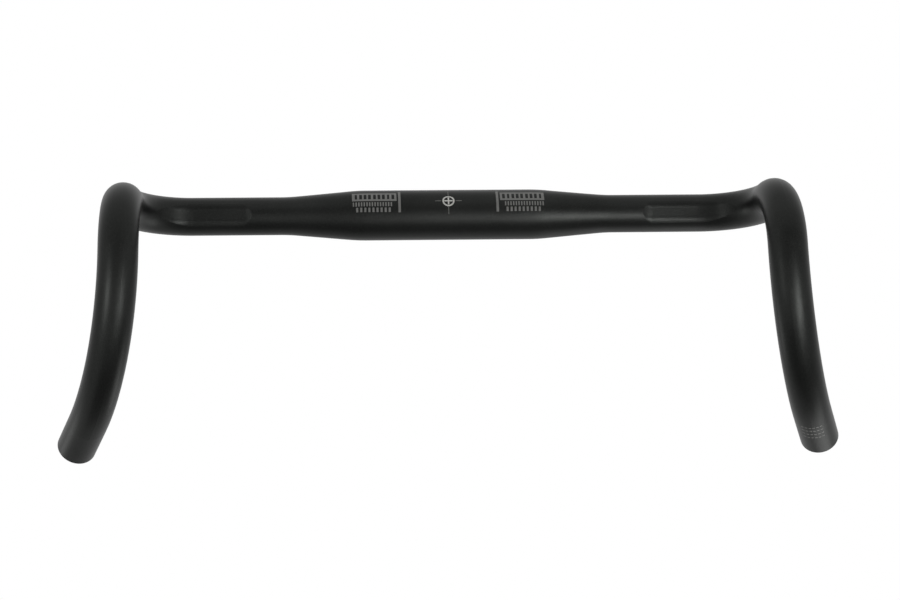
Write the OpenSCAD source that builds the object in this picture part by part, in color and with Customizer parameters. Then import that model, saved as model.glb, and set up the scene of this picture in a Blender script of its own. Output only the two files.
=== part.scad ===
// Gravel drop handlebar: one butted aluminium tube, swaged up to a wide centre section, bent forward at
// the corners, hooked down and flared outward to open ends, with a cable groove pressed into each side.
// The origin is at the middle of the centre section. +X is the rider's left, -Y is forward and +Z is up.

/* [Centre section] */
// Diameter of the centre section, where the stem clamps
clamp_d = 31.8; // [28:0.1:35]
// Length of the centre section at its full diameter
clamp_l = 114; // [80:1:150]
// Wall of the centre section
clamp_wall = 2.6; // [2:0.1:3.4]
// Length of the taper from the centre section down to the tube
taper_l = 43.5; // [30:0.5:60]
// Length over which the corner at each end of a taper is rounded
taper_soft = 11; // [4:1:20]

/* [Tube] */
// Outer diameter of the tube
tube_d = 24; // [22:0.1:26]
// Wall of the tube
tube_wall = 1.8; // [1.4:0.1:2.4]
// Chamfer inside and outside the rim of each open end
rim_chamfer = 0.5; // [0.2:0.1:0.6]

/* [Bends] */
// Distance between the centre lines of the two sides where the levers clamp
hood_width = 400; // [380:2:460]
// Centre-line radius of the corner that turns the tops forward
corner_r = 40; // [35:1:50]
// Centre-line radius of the hook at the front
hook_r = 39; // [32:1:60]
// Cosine of the hook's angle: 0.07584 turns the tube down by 85.7 degrees, 0.28 by 73.7 and 0 by 90
hook_cosine = 0.07584; // [0, 0.07584, 0.28]
// Sine of the angle by which the drop leans outward: 0.352 is 20.6 degrees and 0.28 is 16.3
flare_sine = 0.352; // [0.28, 0.352]
// Centre-line radius of the drop
drop_r = 99; // [70:1:120]
// Cosine of the drop's angle: 0.352 turns the tube back by 69.4 degrees and 0.28 by 73.7
drop_cosine = 0.352; // [0.28, 0.352]
// Length of the straight end below the drop
end_l = 29; // [25:1:70]

/* [Cable groove] */
// Distance from the middle of the bar to where the groove reaches its full depth
groove_start = 130; // [120:1:145]
// Width of the groove across its shoulders
groove_w = 14; // [11:0.5:15]
// Slope of the groove's sides where they rise from its flat floor
groove_slope = 8; // [4:1:16]
// Radius of the shoulders that round the groove's two edges
shoulder_r = 7; // [6:0.5:8]
// Angle of the soft crease where a shoulder leaves the round of the tube
shoulder_crease = 6; // [4:1:8]
// Angle below straight ahead at which the groove faces
groove_dip = 7; // [0:1:20]
// Radius of the ramp at the groove's inner end
groove_ramp_r = 14; // [10:1:30]
// How much tighter than the corner the groove curves, so that it fades out on the way round
groove_fade = 3.6; // [3:0.1:6]

/* [Hidden] */
$fn = 96;
tube_r = tube_d / 2;
clamp_half = clamp_l / 2;
taper_end = clamp_half + taper_l;
tops_half = hood_width / 2 - corner_r;
hook_angle = acos(hook_cosine);
flare_angle = asin(flare_sine);
drop_angle = acos(drop_cosine);
// Angle from the groove's middle to where a shoulder meets the round of the tube
shoulder_at = asin(groove_w / 2 / tube_r);
// Centre of a shoulder's arc, outward from the tube's axis and to the side
shoulder_out = tube_r * cos(shoulder_at) - shoulder_r * cos(shoulder_at - shoulder_crease);
shoulder_side = tube_r * sin(shoulder_at) - shoulder_r * sin(shoulder_at - shoulder_crease);
shoulder_reach = norm([shoulder_out, shoulder_side]);
// Distance of the groove's floor from the tube's axis
groove_floor = shoulder_out + shoulder_r * cos(groove_slope);
// Short cones that make up each rounded corner of the tapers
soft_steps = 6;
// How far the cutters run past what they cut
over = 1;

// Turns +Z outward along the tops and +X forward, from a distance along the tops
module along_tops(distance) {
    translate([distance, 0, 0])
        rotate([0, 90, 0])
            rotate([0, 0, -90]) children();
}

// The block ahead of the plane z = 0, or behind it
module block(size, ahead) {
    translate([-size, -size, ahead ? 0 : -2 * size]) cube(2 * size);
}

// Moves to the far end of a bend that sets off along +Z and turns towards +X
module past_bend(radius, angle) {
    translate([radius, 0, 0])
        rotate([0, angle, 0])
            translate([-radius, 0, 0]) children();
}

// A bend of round bar, and from its far end what follows. The ring is trimmed by the planes of
// its two ends, so that it meets its neighbours face to face
module bend(radius, angle, r) {
    size = 2 * (radius + r);
    intersection() {
        translate([radius, 0, 0])
            rotate([90, 0, 0])
                rotate_extrude()
                    translate([radius, 0]) circle(r = r);
        block(size, true);
        past_bend(radius, angle) block(size, false);
    }
    past_bend(radius, angle) children();
}

// The point at a distance from a corner on the way to its neighbour
function toward(corner, neighbour, distance) =
    corner + (neighbour - corner) / norm(neighbour - corner) * distance;

// A corner between its two neighbours, rounded along a parabola
function soft_corner(before, corner, after) =
    let (
        first = toward(corner, before, taper_soft / 2),
        last = toward(corner, after, taper_soft / 2)
    )
    [
        for (step = [0:soft_steps])
            let (t = step / soft_steps)
                pow(1 - t, 2) * first + 2 * t * (1 - t) * corner + pow(t, 2) * last
    ];

// The tops with the centre section swaged up between its two tapers, drawn as [radius, position]
module tops(centre_r, r) {
    tube_end = [r, tops_half];
    taper_foot = [r, taper_end];
    taper_top = [centre_r, clamp_half];
    taper = concat(
        soft_corner(tube_end, taper_foot, taper_top),
        soft_corner(taper_foot, taper_top, [centre_r, 0])
    );
    half = concat([[0, tops_half], tube_end], taper);
    other_half = [for (i = [len(half) - 1:-1:0]) [half[i][0], -half[i][1]]];
    rotate([0, 90, 0])
        rotate_extrude() polygon(concat(half, other_half));
}

// Corner, hook and drop of one side, and from the drop's far end what follows
module side_bends(r) {
    along_tops(tops_half)
        bend(corner_r, 90, r)
            rotate([0, 0, 90])
                bend(hook_r, hook_angle, r)
                    rotate([0, 0, flare_angle])
                        bend(drop_r, drop_angle, r)
                            children();
}

// The straight end, with its rim narrowed by the outer chamfer
module plain_end(r) {
    cylinder(h = end_l - rim_chamfer, r = r);
    translate([0, 0, end_l - rim_chamfer])
        cylinder(h = rim_chamfer, r1 = r, r2 = r - rim_chamfer);
}

// The bore of the straight end, widened by the inner chamfer
module open_end(r) {
    flare = rim_chamfer + over;
    cylinder(h = end_l - rim_chamfer, r = r);
    translate([0, 0, end_l - rim_chamfer])
        cylinder(h = flare, r1 = r, r2 = r + flare);
}

// The section of the groove, +X outward and +Y down, cut deeper by a wall when it shapes the bore
module groove_section(wall) {
    crest = shoulder_reach + shoulder_r - tube_r;
    tip = (tube_r - wall + crest / 2) / shoulder_reach;
    top = tube_r + over;
    rotate(groove_dip)
        difference() {
            polygon([
                [groove_floor - wall, -shoulder_side],
                [groove_floor - wall, shoulder_side],
                [shoulder_out * tip, shoulder_side * tip],
                [top, shoulder_side * tip],
                [top, -shoulder_side * tip],
                [shoulder_out * tip, -shoulder_side * tip]
            ]);
            for (side = [-1, 1])
                translate([shoulder_out, side * shoulder_side]) circle(r = shoulder_r - wall);
        }
}

// The groove of one side: a ramp in, the straight run along the tops, and a curve that leaves the corner
module groove(wall) {
    ramp_axis = groove_floor + groove_ramp_r;
    along_tops(groove_start) {
        translate([ramp_axis, 0, 0])
            rotate([-90, 0, 180])
                rotate_extrude(angle = 45)
                    translate([ramp_axis, 0])
                        rotate(180) groove_section(wall);
        linear_extrude(tops_half - groove_start) groove_section(wall);
    }
    fade_axis = corner_r - groove_fade;
    along_tops(tops_half)
        translate([fade_axis, 0, 0])
            rotate([90, 0, 180])
                rotate_extrude(angle = 90)
                    translate([fade_axis, 0])
                        mirror([1, 0]) groove_section(wall);
}

// Both sides of the bar from one
module both_sides() {
    children();
    mirror([1, 0, 0]) children();
}

// The outside of the bar before the grooves are pressed
module outside() {
    tops(clamp_d / 2, tube_r);
    both_sides() side_bends(tube_r) plain_end(tube_r);
}

// The bore, which runs through from end to end
module bore() {
    bore_r = tube_r - tube_wall;
    tops(clamp_d / 2 - clamp_wall, bore_r);
    both_sides() side_bends(bore_r) open_end(bore_r);
}

module handlebar() {
    color("#2b2c2c")
        difference() {
            outside();
            both_sides() groove(0);
            difference() {
                bore();
                both_sides() groove(tube_wall);
            }
        }
}

handlebar();
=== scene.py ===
import math
import bpy
from mathutils import Matrix, Vector


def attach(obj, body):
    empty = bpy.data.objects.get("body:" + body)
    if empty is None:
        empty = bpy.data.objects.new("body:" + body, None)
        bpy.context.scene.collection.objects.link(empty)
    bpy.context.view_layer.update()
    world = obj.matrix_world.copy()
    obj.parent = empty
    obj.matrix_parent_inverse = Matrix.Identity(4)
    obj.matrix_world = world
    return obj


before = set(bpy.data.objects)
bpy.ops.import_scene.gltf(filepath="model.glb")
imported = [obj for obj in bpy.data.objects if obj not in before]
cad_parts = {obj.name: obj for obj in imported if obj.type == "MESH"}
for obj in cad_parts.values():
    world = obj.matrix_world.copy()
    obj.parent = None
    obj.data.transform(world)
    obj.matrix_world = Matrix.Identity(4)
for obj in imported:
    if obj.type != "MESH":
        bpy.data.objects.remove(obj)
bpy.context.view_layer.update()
print("frame loaded:", sorted(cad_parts))


def linearColour(hexCode):  # sRGB hex to the linear values that Blender's sockets take
    parts = [int(hexCode[i:i + 2], 16) / 255 for i in (1, 3, 5)]
    return [p / 12.92 if p <= 0.04045 else ((p + 0.055) / 1.055) ** 2.4 for p in parts] + [1.0]


black, white = (0, 0, 0, 1), (1, 1, 1, 1)
mixFrom, mixTo, mixResult = 6, 7, 2  # a Mix node's colour sockets, by number, as their names are not unique


def addNode(tree, kind, settings=(), links=()):  # settings go to a socket, or else to the node itself
    node = tree.nodes.new(kind)
    for name, value in settings:
        if isinstance(name, int) or name in node.inputs:
            node.inputs[name].default_value = value
        else:
            setattr(node, name, value)
    for name, source in links:
        tree.links.new(source, node.inputs[name])
    return node


def newMaterial(name):
    material = bpy.data.materials.new(name)
    material.use_nodes = True
    material.node_tree.nodes.clear()
    return material, material.node_tree


def deselectAll():
    if bpy.context.object and bpy.context.object.mode != "OBJECT":
        bpy.ops.object.mode_set(mode="OBJECT")
    bpy.ops.object.select_all(action="DESELECT")


barFinish = {
    "body": "#292a29",               # black dye seen through the clear oxide
    "bodyPale": "#323332",           # where the dye took a little less
    "bodyDeep": "#212221",           # where it took a little more
    "edgeTint": (0.9, 0.9, 0.9, 1),  # dyed oxide keeps the grazing edges darker than bare metal
    "roughness": 0.40,               # fine bead blast under the anodising
    "roughnessSpread": 0.05,
    "grainMm": 0.45,                 # real grit is about 0.1 mm, drawn coarser so that it shows
    "grainHeightMm": 0.010,
    "grainStrength": 0.35,
    "grainStops": (0.45, 0.75),      # only the highest grains turn pale
    "cloudMm": 38,                   # slow change of tone along the tube
    "cloudStops": (0.3, 0.7),
}


def anodisedAluminium():  # black anodised over a bead blast: dark metal with broad soft highlights
    material, tree = newMaterial("blackAnodisedAluminium")
    place = addNode(tree, "ShaderNodeTexCoord").outputs["Object"]
    cloud = addNode(tree, "ShaderNodeTexNoise",
                    [("Scale", 1000 / barFinish["cloudMm"]), ("Detail", 2.0), ("Roughness", 0.45)],
                    [("Vector", place)])
    grain = addNode(tree, "ShaderNodeTexNoise",
                    [("Scale", 1000 / barFinish["grainMm"]), ("Detail", 3.0), ("Roughness", 0.6)],
                    [("Vector", place)])
    tone = addNode(tree, "ShaderNodeValToRGB", links=[("Fac", cloud.outputs["Fac"])])
    speck = addNode(tree, "ShaderNodeValToRGB", links=[("Fac", grain.outputs["Fac"])])
    toneColours = linearColour(barFinish["bodyDeep"]), linearColour(barFinish["body"])
    for node, places, colours in ((tone, barFinish["cloudStops"], toneColours),
                                  (speck, barFinish["grainStops"], (black, white))):
        stops = node.color_ramp.elements
        for i in (0, 1):
            stops[i].position, stops[i].color = places[i], colours[i]
    colour = addNode(tree, "ShaderNodeMix",
                     [("data_type", "RGBA"), (mixTo, linearColour(barFinish["bodyPale"]))],
                     [("Factor", speck.outputs["Color"]), (mixFrom, tone.outputs["Color"])])
    rough = addNode(tree, "ShaderNodeMapRange",
                    [("To Min", barFinish["roughness"] - barFinish["roughnessSpread"]),
                     ("To Max", barFinish["roughness"] + barFinish["roughnessSpread"])],
                    [("Value", grain.outputs["Fac"])])
    bump = addNode(tree, "ShaderNodeBump",
                   [("Strength", barFinish["grainStrength"]),
                    ("Distance", barFinish["grainHeightMm"] / 1000)],
                   [("Height", grain.outputs["Fac"])])
    shader = addNode(tree, "ShaderNodeBsdfPrincipled",
                     [("Metallic", 1.0), ("Specular Tint", barFinish["edgeTint"])],
                     [("Base Color", colour.outputs[mixResult]), ("Roughness", rough.outputs["Result"]),
                      ("Normal", bump.outputs["Normal"])])
    addNode(tree, "ShaderNodeOutputMaterial", links=[("Surface", shader.outputs["BSDF"])])
    return material


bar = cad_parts["handlebar"]
bar.data.materials.clear()
bar.data.materials.append(anodisedAluminium())
print("bar finished")


inkFinish = {
    "mark": "#a3a39f",        # the light grey of the centre mark
    "lines": "#5a5a58",       # the darker grey of the limit lines and graduations
    "faint": "#6e6e6b",       # the trim guide on the drop, worn thin
    "thinCoat": 0.8,          # how much of its colour is left where the black shows through
    "roughness": 0.55,        # matt pad-printing ink
    "roughnessSpread": 0.06,
    "ior": 1.48,
    "stippleMm": 0.6,         # real stipple is about 0.1 mm, drawn coarser so that it shows
    "thicknessMm": 0.03,
    "liftMm": 0.03,           # keeps the ink clear of the facets under it
    "cellMm": 0.5,            # size of the cells that let a stroke follow the tube
    "weldMm": 0.02,
}


def padPrintInk(name, tone):  # matt printed ink: no metal in it, a little uneven where the pad lifted
    material, tree = newMaterial(name)
    place = addNode(tree, "ShaderNodeTexCoord").outputs["Object"]
    stipple = addNode(tree, "ShaderNodeTexNoise", [("Scale", 1000 / inkFinish["stippleMm"]), ("Detail", 2.0)],
                      [("Vector", place)])
    full = linearColour(tone)
    thin = [c * inkFinish["thinCoat"] for c in full[:3]] + [1.0]
    colour = addNode(tree, "ShaderNodeMix", [("data_type", "RGBA"), (mixFrom, thin), (mixTo, full)],
                     [("Factor", stipple.outputs["Fac"])])
    rough = addNode(tree, "ShaderNodeMapRange",
                    [("To Min", inkFinish["roughness"] - inkFinish["roughnessSpread"]),
                     ("To Max", inkFinish["roughness"] + inkFinish["roughnessSpread"])],
                    [("Value", stipple.outputs["Fac"])])
    shader = addNode(tree, "ShaderNodeBsdfPrincipled", [("IOR", inkFinish["ior"])],
                     [("Base Color", colour.outputs[mixResult]), ("Roughness", rough.outputs["Result"])])
    addNode(tree, "ShaderNodeOutputMaterial", links=[("Surface", shader.outputs["BSDF"])])
    return material


def stroke(left, right, low, high, cell=inkFinish["cellMm"]):  # one flat printed stroke, in mm
    deselectAll()
    wide, tall = right - left, high - low
    bpy.ops.mesh.primitive_grid_add(
        x_subdivisions=max(1, round(wide / cell)), y_subdivisions=max(1, round(tall / cell)),
        size=0.001, location=((left + right) / 2000, (low + high) / 2000, 0))  # a square millimetre
    piece = bpy.context.object
    piece.scale = (wide, tall, 1)
    bpy.ops.object.transform_apply(location=True, rotation=False, scale=True)
    return piece


def applyModifier(piece, kind, settings):
    modifier = piece.modifiers.new(kind.title(), kind)
    for name, value in settings:
        setattr(modifier, name, value)
    bpy.context.view_layer.objects.active = piece
    bpy.ops.object.modifier_apply(modifier=modifier.name)


def strokeRow(first, pitch, count, width, low, high):  # the same stroke repeated along a line
    piece = stroke(first, first + width, low, high)
    applyModifier(piece, "ARRAY", [
        ("count", count), ("use_relative_offset", False), ("use_constant_offset", True),
        ("constant_offset_displace", (pitch / 1000, 0, 0))])
    return piece


def joinStrokes(name, pieces):
    deselectAll()
    for piece in pieces:
        piece.select_set(True)
    bpy.context.view_layer.objects.active = pieces[0]
    bpy.ops.object.join()
    piece = bpy.context.object
    piece.name = piece.data.name = name
    bpy.ops.object.mode_set(mode="EDIT")
    bpy.ops.mesh.select_all(action="SELECT")
    bpy.ops.mesh.remove_doubles(threshold=inkFinish["weldMm"] / 1000)
    bpy.ops.object.mode_set(mode="OBJECT")
    return piece


def printOnBar(piece, across, along, outward, centre, ink):  # lays flat strokes on the bar, against outward
    turned = Matrix((across, along, outward)).transposed().to_4x4()
    piece.matrix_world = Matrix.Translation(centre) @ turned
    applyModifier(piece, "SHRINKWRAP", [
        ("target", bar), ("wrap_method", "PROJECT"), ("use_project_z", True),
        ("use_negative_direction", True), ("use_positive_direction", False),
        ("offset", inkFinish["liftMm"] / 1000), ("wrap_mode", "ABOVE_SURFACE")])
    applyModifier(piece, "SOLIDIFY", [("thickness", inkFinish["thicknessMm"] / 1000), ("offset", 1.0)])
    deselectAll()
    piece.select_set(True)
    bpy.context.view_layer.objects.active = piece
    bpy.ops.object.transform_apply(location=True, rotation=True, scale=True)
    piece.data.materials.clear()
    piece.data.materials.append(ink)
    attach(piece, "root")


clampPrint = {  # mm from the middle of the bar, and mm up its front from the line that the print faces from
    "faceDegrees": 24.4,               # how far above straight ahead the print faces
    "radiusMm": 15.9,
    "drawnClearMm": 1,                 # the strokes are drawn this far off the bar, then laid on it
    "limitLine": (30.12, 31.67, -7.9, 7.9),
    "band": (32.7, 60.7, -0.5, 6.5),
    "bandCell": 0.35,
    "bandSlots": (34.2, 2.9, 9, 1.7),  # the first slot, their pitch, how many, their width
    "slotHeights": (0.8, 5.2),
    "fineRow": (35.6, 1.7, 15, 0.9, -4.2, -1.4),   # the same four, then low and high
    "coarseRow": (36.5, 2.55, 9, 1.3, -7.7, -5.0),
    "markCentre": -0.7,
    "markRadius": 3.8,
    "markLine": 0.9,
    "markGap": 0.3,                    # between the cross and its ring
    "ringCorners": 48,
    "hairLine": 0.4,
    "hairGaps": (0.8, 0.5),            # off the ring, sideways and upright
    "hairEnds": (8.3, 8.3, -9.0),      # sideways, top and bottom
}


def slottedBand():  # a solid band with a row of slots left open, like the holes of a gauge
    first, pitch, count, width = clampPrint["bandSlots"]
    low, high = clampPrint["slotHeights"]
    band = stroke(*clampPrint["band"], clampPrint["bandCell"])
    bpy.ops.object.mode_set(mode="EDIT")
    bpy.ops.mesh.select_all(action="DESELECT")
    bpy.ops.object.mode_set(mode="OBJECT")
    for face in band.data.polygons:
        past, height = face.center.x * 1000 - first, face.center.y * 1000
        face.select = 0 <= past < pitch * count and past % pitch < width and low < height < high
    bpy.ops.object.mode_set(mode="EDIT")
    bpy.ops.mesh.select_mode(type="FACE")
    bpy.ops.mesh.delete(type="FACE")
    bpy.ops.object.mode_set(mode="OBJECT")
    return band


def targetRing(radius, line, height):  # drawn as an edge loop, then extruded inward
    deselectAll()
    bpy.ops.mesh.primitive_circle_add(vertices=clampPrint["ringCorners"], radius=radius / 1000,
                                      fill_type="NOTHING")
    ring = bpy.context.object
    bpy.ops.object.mode_set(mode="EDIT")
    bpy.ops.mesh.select_all(action="SELECT")
    middle, inner = 1 - line / radius / 2, 1 - line / radius  # as shares of the outer radius
    for size in (middle, inner / middle):
        bpy.ops.mesh.extrude_edges_move()
        bpy.ops.transform.resize(value=(size, size, 1))
    bpy.ops.mesh.select_all(action="SELECT")
    bpy.ops.mesh.normals_make_consistent(inside=False)
    bpy.ops.object.mode_set(mode="OBJECT")
    ring.location.y = height / 1000
    bpy.ops.object.transform_apply(location=True, rotation=False, scale=False)
    if ring.data.polygons[0].normal.z < 0:
        ring.data.flip_normals()
    return ring


def clampMarks():
    turn = math.radians(clampPrint["faceDegrees"])
    across = Vector((1, 0, 0))
    outward = Vector((0, -math.cos(turn), math.sin(turn)))
    along = Vector((0, math.sin(turn), math.cos(turn)))
    centre = outward * (clampPrint["radiusMm"] + clampPrint["drawnClearMm"]) / 1000
    lineInk = padPrintInk("greyPadPrintInk", inkFinish["lines"])
    markInk = padPrintInk("lightPadPrintInk", inkFinish["mark"])
    sides = joinStrokes("clampLimitsAndScale", [
        stroke(*clampPrint["limitLine"]),
        slottedBand(),
        strokeRow(*clampPrint["fineRow"]),
        strokeRow(*clampPrint["coarseRow"]),
    ])
    applyModifier(sides, "MIRROR", [("use_axis", (True, False, False)), ("use_mirror_merge", False)])
    printOnBar(sides, across, along, outward, centre, lineInk)
    middle, radius, line = clampPrint["markCentre"], clampPrint["markRadius"], clampPrint["markLine"]
    half = line / 2
    reach = radius - line - clampPrint["markGap"]
    mark = joinStrokes("centreMark", [
        targetRing(radius, line, middle),
        stroke(-reach, reach, middle - half, middle + half, half),
        stroke(-half, half, middle + half, middle + reach, half),
        stroke(-half, half, middle - reach, middle - half, half),
    ])
    printOnBar(mark, across, along, outward, centre, markInk)
    thick, (sideGap, uprightGap) = clampPrint["hairLine"], clampPrint["hairGaps"]
    side, top, bottom = clampPrint["hairEnds"]
    half = thick / 2
    hairs = joinStrokes("centreHairLines", [
        stroke(-half, half, middle + radius + uprightGap, top, thick),
        stroke(-half, half, bottom, middle - radius - uprightGap, thick),
        stroke(radius + sideGap, side, middle - half, middle + half, thick),
        stroke(-side, -radius - sideGap, middle - half, middle + half, thick),
    ])
    printOnBar(hairs, across, along, outward, centre, lineInk)


clampMarks()
print("clamp marks printed")


trimGuide = {  # rows of short dashes on the underside of the rider's left drop
    "place": (0.2225, -0.0255, -0.1455),           # metres
    "along": (0.329472, 0.84687716, -0.41742936),  # the way the drop's end runs
    "outward": (-0.04, -0.40, -0.915),             # roughly the way the print faces
    "drawnClearMm": 4,                             # the dashes are drawn this far off the place
    "dashes": (-6.6, 2.3, 6, 1.5),                 # mm round the tube: first, pitch, how many, width
    "dashLine": 0.6,
    "rowsAt": (-7.5, -3.9, 0.0, 3.9),              # mm along the tube
}


def dropMarks():
    along = Vector(trimGuide["along"]).normalized()
    outward = Vector(trimGuide["outward"])
    outward = (outward - along * outward.dot(along)).normalized()  # square to the tube
    rows = [strokeRow(*trimGuide["dashes"], low, low + trimGuide["dashLine"]) for low in trimGuide["rowsAt"]]
    guide = joinStrokes("trimGuide", rows)
    centre = Vector(trimGuide["place"]) + outward * trimGuide["drawnClearMm"] / 1000
    printOnBar(guide, along.cross(outward), along, outward, centre,
               padPrintInk("faintPadPrintInk", inkFinish["faint"]))


dropMarks()
print("trim guide printed")


studio = {
    "floorDrop": 0.76,               # metres from the clamp down to the floor
    "floorSize": 80.0,
    "floorPale": "#e6e6e4",
    "floorRoughness": (0.65, 0.75),
    "floorPatches": 3.0,             # slow change of roughness, this many to a metre
    "floorMirror": 0.9,              # how white the bar's reflections see the floor
    "worldFill": 0.55,               # the light from all round, where 1 is white
}


def paleFloor():  # smooth painted board, matt, and seen through from below
    material, tree = newMaterial("paleStudioBoard")
    place = addNode(tree, "ShaderNodeTexCoord").outputs["Object"]
    noise = addNode(tree, "ShaderNodeTexNoise", [("Scale", studio["floorPatches"]), ("Detail", 2.0)],
                    [("Vector", place)])
    low, high = studio["floorRoughness"]
    rough = addNode(tree, "ShaderNodeMapRange", [("To Min", low), ("To Max", high)],
                    [("Value", noise.outputs["Fac"])])
    board = addNode(tree, "ShaderNodeBsdfPrincipled", [("Base Color", linearColour(studio["floorPale"]))],
                    [("Roughness", rough.outputs["Result"])])
    path = addNode(tree, "ShaderNodeLightPath")
    mirrored = addNode(tree, "ShaderNodeEmission", [("Color", white), ("Strength", studio["floorMirror"])])
    above = addNode(tree, "ShaderNodeMixShader",
                    links=[(0, path.outputs["Is Glossy Ray"]), (1, board.outputs["BSDF"]),
                           (2, mirrored.outputs["Emission"])])
    below = addNode(tree, "ShaderNodeNewGeometry").outputs["Backfacing"]
    clear = addNode(tree, "ShaderNodeBsdfTransparent")
    whole = addNode(tree, "ShaderNodeMixShader",
                    links=[(0, below), (1, above.outputs["Shader"]), (2, clear.outputs["BSDF"])])
    addNode(tree, "ShaderNodeOutputMaterial", links=[("Surface", whole.outputs["Shader"])])
    return material


deselectAll()
bpy.ops.mesh.primitive_plane_add(size=studio["floorSize"], location=(0, 0, -studio["floorDrop"]))
floor = bpy.context.object
floor.name = "floor"
bpy.ops.object.transform_apply(location=True, rotation=False, scale=False)
floor.data.materials.append(paleFloor())


def whiteBackdrop():  # camera, glossy and transmitted rays see white, other rays the softer fill
    world = bpy.data.worlds.new("whiteBackdrop")
    world.use_nodes = True
    tree = world.node_tree
    tree.nodes.clear()
    path = addNode(tree, "ShaderNodeLightPath")
    seen = addNode(tree, "ShaderNodeMath", [("operation", "MAXIMUM")],
                   [(0, path.outputs["Is Camera Ray"]), (1, path.outputs["Is Glossy Ray"])])
    seen = addNode(tree, "ShaderNodeMath", [("operation", "MAXIMUM")],
                   [(0, seen.outputs["Value"]), (1, path.outputs["Is Transmission Ray"])])
    strength = addNode(tree, "ShaderNodeMapRange", [("To Min", studio["worldFill"]), ("To Max", 1.0)],
                       [("Value", seen.outputs["Value"])])
    back = addNode(tree, "ShaderNodeBackground", [("Color", white)],
                   [("Strength", strength.outputs["Result"])])
    addNode(tree, "ShaderNodeOutputWorld", links=[("Surface", back.outputs["Background"])])
    bpy.context.scene.world = world


whiteBackdrop()
print("floor and backdrop placed")


softBoxes = {  # place, the point it faces, size in metres, power in watts, degrees of its cone
    "leftBox": ((-0.64, -0.57, -0.13), (-0.20, -0.09, -0.05), (0.17, 0.17), 0.12, 60),
    "rightBox": ((0.39, -0.88, -0.51), (0.08, 0, 0), (0.25, 0.34), 0.15, 40),
    "sideBox": ((0.79, -1.36, -0.48), (0, -0.06, -0.06), (0.35, 0.40), 0.45, 40),
    "endBox": ((0.56, 0.28, -0.70), (0.24, -0.02, -0.14), (0.72, 0.46), 1.1, 110),
    "farBox": ((-0.72, 0.42, -0.40), (0.23, -0.05, -0.10), (0.30, 0.30), 0.05, 36),
    "topBox": ((0.2, 0.3, 1.8), (0, -0.04, -0.06), (1.2, 0.8), 20.0, 180),
}


def addSoftBox(name, place, target, size, power, cone):
    lamp = bpy.data.lights.new(name, "AREA")
    lamp.shape, lamp.size, lamp.size_y, lamp.energy = "RECTANGLE", size[0], size[1], power
    lamp.spread = math.radians(cone)
    box = bpy.data.objects.new(name, lamp)
    bpy.context.scene.collection.objects.link(box)
    box.location = place
    box.rotation_euler = (Vector(target) - Vector(place)).to_track_quat("-Z", "Y").to_euler()
    box.visible_camera = False
    box.visible_glossy = name != "topBox"  # the top box lights the floor, and isn't mirrored in the bar


for name, settings in softBoxes.items():
    addSoftBox(name, *settings)
print("lamps placed")


flags = {  # grey cards out of the picture, seen only in reflections: two opposite corners and the tone
    "frontFlag": ((-3.5, -2.6, -0.1), (3.5, -2.6, 1.8), "#bcbcbc"),
    "lowerFlag": ((-0.55, -0.62, -0.70), (1.6, 0.10, -0.70), "#a0a0a0"),
}


def addFlag(name, low, high, tone):
    material, tree = newMaterial(name + "Cloth")
    shader = addNode(tree, "ShaderNodeEmission", [("Color", linearColour(tone)), ("Strength", 1.0)])
    addNode(tree, "ShaderNodeOutputMaterial", links=[("Surface", shader.outputs["Emission"])])
    wide, deep, tall = [b - a for a, b in zip(low, high)]
    middle = [(a + b) / 2 for a, b in zip(low, high)]
    deselectAll()
    bpy.ops.mesh.primitive_plane_add(size=1, location=middle, rotation=(math.pi / 2 if tall else 0, 0, 0))
    flag = bpy.context.object
    flag.name = name
    flag.scale = (wide, tall or deep, 1)
    bpy.ops.object.transform_apply(location=True, rotation=True, scale=True)
    flag.data.materials.append(material)
    flag.visible_camera = flag.visible_diffuse = flag.visible_shadow = False


for name, (low, high, tone) in flags.items():
    addFlag(name, low, high, tone)
print("flags placed")


view = {
    "place": (-0.08036, -1.27826, -0.27787),
    "turnDegrees": (99.8735, 1.1887, -3.416),
    "lensMm": 82.27,
    "sensorMm": 36,
    "clip": (0.05, 60),
}
camera = bpy.data.objects.new("camera", bpy.data.cameras.new("camera"))
bpy.context.scene.collection.objects.link(camera)
camera.location = view["place"]
camera.rotation_euler = [math.radians(a) for a in view["turnDegrees"]]
camera.data.lens, camera.data.sensor_width = view["lensMm"], view["sensorMm"]
camera.data.clip_start, camera.data.clip_end = view["clip"]
bpy.context.scene.camera = camera
bpy.context.scene.view_settings.view_transform = "Standard"
print("camera placed")
